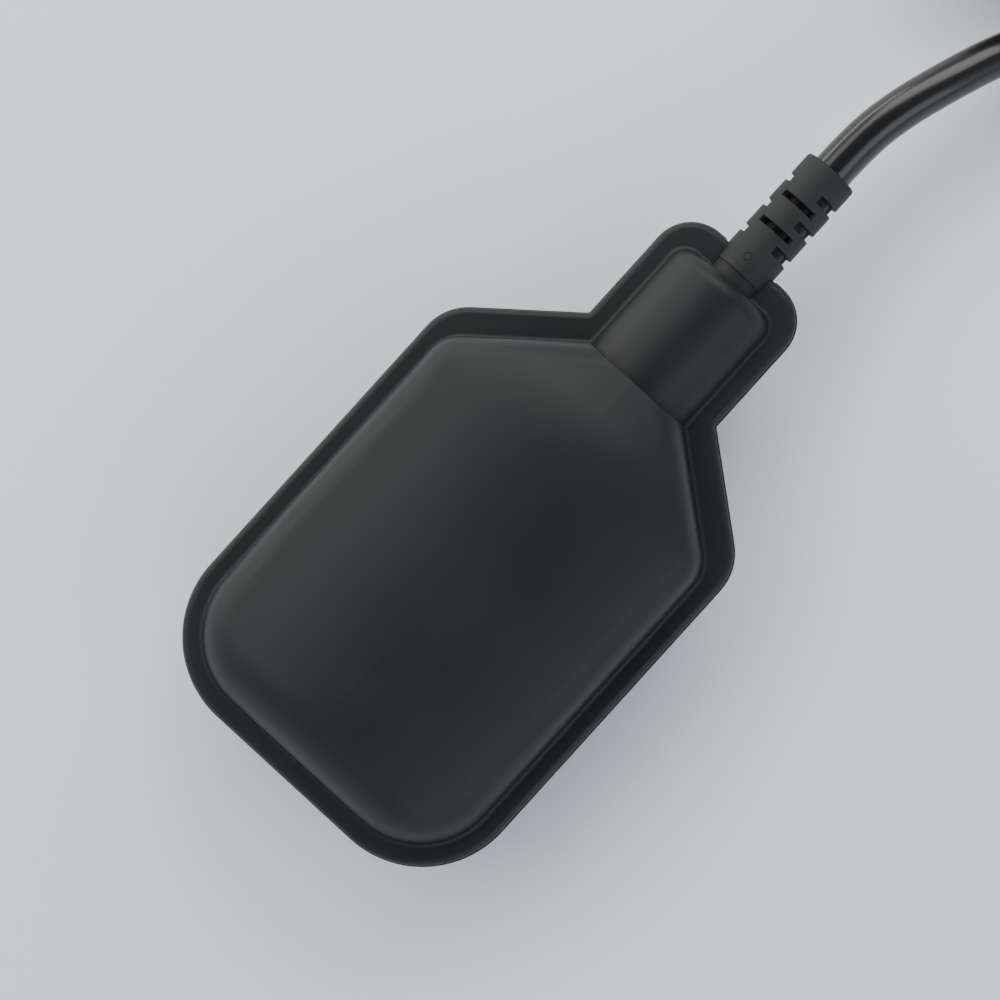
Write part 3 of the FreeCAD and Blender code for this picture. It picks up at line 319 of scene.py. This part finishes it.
# Stripped end: three cores that fan out on the coil, and their bare strands
ends = {
    "coreDiameter": 2.4, "coreSpacing": 2.6, "stripLength": 6,
    "cores": {"brown": -1, "black": 0, "blue": 1},
    # Angle, share of the height still to drop, and spread
    "route": [(252, 0.5, 1.2), (264, 0.1, 1.5), (275, 0, 1.8), (285, 0, 2)],
    "strandDiameter": 0.4, "strandCircle": 0.42, "strandLength": 7, "strandRoot": 1.5,
    "strandsRound": 6, "strandPoints": 12, "strandTwist": 260, "strandSplay": 0.35,
    "unevenness": 0.05, "unevenStep": 3.1, "turnPerLane": 25,
}


def coreLine(lane):
    straight = (tailLine[-1] - tailLine[-2]).normalized()
    aside = lane * ends["coreSpacing"]
    start = tailLine[-1] + straight.cross(upward) * aside
    low = cable["coilTop"] + ends["coreDiameter"] / 2
    drop = cableRadius - ends["coreDiameter"] / 2
    line = [start, start + straight * ends["stripLength"]]
    for angle, height, spread in ends["route"]:
        line.append(onCoil(cable["coilRadius"] + aside * spread, angle, low + drop * height))
    return line


# Strands of one core, twisted round one in the middle and splayed towards their tips
def strandLines(line, turned):
    along = (line[-1] - line[-2]).normalized()
    across = along.cross(upward).normalized()
    above = across.cross(along)
    middle = ends["strandsRound"]
    strands = []
    for i in range(middle + 1):
        reach = ends["strandLength"] * (1 + ends["unevenness"] * math.sin(ends["unevenStep"] * i + turned))
        strand = []
        for j in range(ends["strandPoints"]):
            share = j / (ends["strandPoints"] - 1)
            run = share * (reach + ends["strandRoot"]) - ends["strandRoot"]
            turn = math.radians(360 / middle * i + turned + ends["strandTwist"] * share)
            circle = 0 if i == middle else ends["strandCircle"] * (1 + ends["strandSplay"] * share ** 3)
            sideways = across * math.cos(turn) + above * math.sin(turn)
            strand.append(line[-1] + along * run + sideways * circle)
        strands.append(strand)
    return strands


strands = []
for name, lane in ends["cores"].items():
    line = coreLine(lane)
    core = tube(f"tailCore{name.title()}", [line], ends["coreDiameter"], f"{name}Insulation")
    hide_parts(f"tail_core_{name}")
    strands += strandLines(line, ends["turnPerLane"] * lane)
bareEnds = tube("bareStrands", strands, ends["strandDiameter"], "bareCopper")
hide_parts("core_strands")

# Mark that the mould's gate left on the sleeve: a fine ring that follows its round
gate = {
    "along": 70, "tilt": 8.5, "sleeveRadius": 6, "axisHeight": 21,
    "ringRadius": 0.75, "diameter": 0.3, "points": 24,
}


def gateRing():
    ring = []
    for i in range(gate["points"]):
        turn = math.tau * i / gate["points"]
        lean = math.radians(gate["tilt"]) + gate["ringRadius"] * math.sin(turn) / gate["sleeveRadius"]
        along = gate["along"] + gate["ringRadius"] * math.cos(turn)
        side = gate["sleeveRadius"] * math.sin(lean)
        ring.append((along, side, gate["axisHeight"] + gate["sleeveRadius"] * math.cos(lean)))
    return ring


mark = tube("gateMark", [gateRing()], gate["diameter"], "mouldedRubber", "POLY", closed=True)

# Bead of melted plastic along the weld, round the edge of the rim
weld = {
    "tip": 70, "end": -70, "gap": 6.6, "height": 21,
    # Place of each corner and the radius of its bend, which is below zero where the outline turns in
    "corners": [(70, 17, 8.5), (40.5, 17, -1), (22, 39.75, 11), (-70, 39.75, 21.5)],
    "diameter": 0.5, "stand": 0.05, "spacing": 1.2, "stepsPerBend": 3,
    "wander": 0.08, "waves": (0.9, 0.37),
}


# One side of the rim's outline, from its tip to its closed end, with its corners rounded
def roundedSide():
    places = [Vector((x, y, 0)) for x, y, _ in weld["corners"]]
    before = [Vector((weld["tip"], 0, 0))] + places[:-1]
    after = places[1:] + [Vector((weld["end"], 0, 0))]
    line = [Vector((weld["tip"], weld["gap"], 0))]
    for place, last, following, (_, _, bend) in zip(places, before, after, weld["corners"]):
        back = (last - place).normalized()
        ahead = (following - place).normalized()
        half = back.angle(ahead) / 2
        reach = abs(bend) / math.tan(half)
        middle = place + (back + ahead).normalized() * abs(bend) / math.sin(half)
        start = place + back * reach - middle
        sweep = math.pi - 2 * half
        count = max(weld["stepsPerBend"], int(abs(bend) * sweep / weld["spacing"]))
        turn = math.copysign(sweep / count, bend)
        for i in range(count + 1):
            line.append(middle + Matrix.Rotation(turn * i, 3, "Z") @ start)
    line.append(after[-1])
    return line


# Both sides in even steps, standing slightly proud and drifting a little up and down
def weldLine():
    side = roundedSide()
    outline = side + [Vector((point.x, -point.y, 0)) for point in reversed(side[:-1])]
    line = []
    for start, stop in zip(outline, outline[1:]):
        count = max(1, round((stop - start).length / weld["spacing"]))
        line += [start.lerp(stop, i / count) for i in range(count)]
    line.append(outline[-1])
    quick, slow = weld["waves"]
    bead = []
    for i, point in enumerate(line):
        run = line[min(i + 1, len(line) - 1)] - line[max(i - 1, 0)]
        outward = Vector((run.y, -run.x, 0)).normalized()
        drift = weld["wander"] * math.sin(quick * i) * math.sin(slow * i)
        bead.append(point + outward * weld["stand"] + Vector((0, 0, weld["height"] + drift)))
    return bead


bead = tube("weldBead", [weldLine()], weld["diameter"], "mouldedPolypropylene", "POLY")
print("weld bead laid")

# Pale floor under the part, in metres
floor = {"side": 6, "tone": "#eff8fc", "roughness": 0.55}


def paleFloor():
    half = floor["side"] / 2
    mesh = bpy.data.meshes.new("floor")
    corners = [(-half, -half, 0), (half, -half, 0), (half, half, 0), (-half, half, 0)]
    mesh.from_pydata(corners, [], [(0, 1, 2, 3)])
    piece = addObject("floor", mesh)
    material = bpy.data.materials.new("paleBoard")
    material.use_nodes = True
    shader = material.node_tree.nodes["Principled BSDF"]
    shader.inputs["Base Color"].default_value = colour(floor["tone"])
    shader.inputs["Roughness"].default_value = floor["roughness"]
    mesh.materials.append(material)


paleFloor()
print("floor laid")

# Soft studio lights: place and size in metres, power in watts
lights = {
    "lowStrip": {"place": (0.05, 0.68, 0.14), "size": (0.9, 0.1), "power": 2.1, "tone": "#fff6ea"},
    "keyPanel": {"place": (-0.14, 0.46, 0.62), "size": (0.95, 0.38), "power": 2.7, "tone": "#f8fbf9"},
    "fillPanel": {"place": (-0.1, -0.5, 0.43), "size": (0.8, 0.4), "power": 1.7, "tone": "#f2f5ff"},
    "neckPanel": {"place": (0.54, 0.28, 0.47), "size": (0.72, 0.4), "power": 3.4, "tone": "#fffefa"},
}
aim = Vector((0, 0, 0.03))  # all of them face the float
for name, light in lights.items():
    lamp = bpy.data.lights.new(name, "AREA")
    lamp.shape = "RECTANGLE"
    lamp.size, lamp.size_y = light["size"]
    lamp.energy = light["power"]
    lamp.color = colour(light["tone"])[:3]
    holder = addObject(name, lamp)
    holder.location = light["place"]
    holder.rotation_euler = (aim - holder.location).to_track_quat("-Z", "Y").to_euler()
print("lights:", len(lights))

# Even light from all round that falls off overhead, so that level faces stay dark
sky = {"tone": "#e9f1f5", "around": 1, "overhead": 0.3, "heights": (0.3, 0.95)}


def studioSky():
    world = bpy.data.worlds.new("studio")
    world.use_nodes = True
    tree = world.node_tree
    background = tree.nodes["Background"]
    direction = addNode(tree, "ShaderNodeTexCoord").outputs["Generated"]
    height = addNode(tree, "ShaderNodeSeparateXYZ", links={"Vector": direction}).outputs["Z"]
    low, high = sky["heights"]
    fall = addNode(tree, "ShaderNodeMapRange",
                   {"interpolation_type": "SMOOTHSTEP", "From Min": low, "From Max": high,
                    "To Min": sky["around"], "To Max": sky["overhead"]}, {"Value": height})
    background.inputs["Color"].default_value = colour(sky["tone"])
    tree.links.new(fall.outputs["Result"], background.inputs["Strength"])
    bpy.context.scene.world = world


studioSky()
print("sky set")

# Camera above the float, leaning towards its near side, with the long axis up to the right
camera = {"roll": 47.7, "lean": 5, "centre": (0.5, 5.2, 21), "width": 201.7, "lens": 150, "sensor": 36}


def photoCamera():
    roll = math.radians(camera["roll"])
    lean = math.radians(camera["lean"])
    up = Vector((math.sin(roll), math.cos(roll), 0))
    back = Vector((0, -math.sin(lean), math.cos(lean)))
    right = up.cross(back).normalized()
    lens = bpy.data.cameras.new("camera")
    lens.lens = camera["lens"]
    lens.sensor_width = camera["sensor"]
    distance = camera["width"] * camera["lens"] / camera["sensor"]
    place = (Vector(camera["centre"]) + back * distance) * millimetre
    turn = Matrix((right, back.cross(right), back)).transposed().to_4x4()
    holder = addObject("camera", lens)
    holder.matrix_world = Matrix.Translation(place) @ turn
    bpy.context.scene.camera = holder


photoCamera()
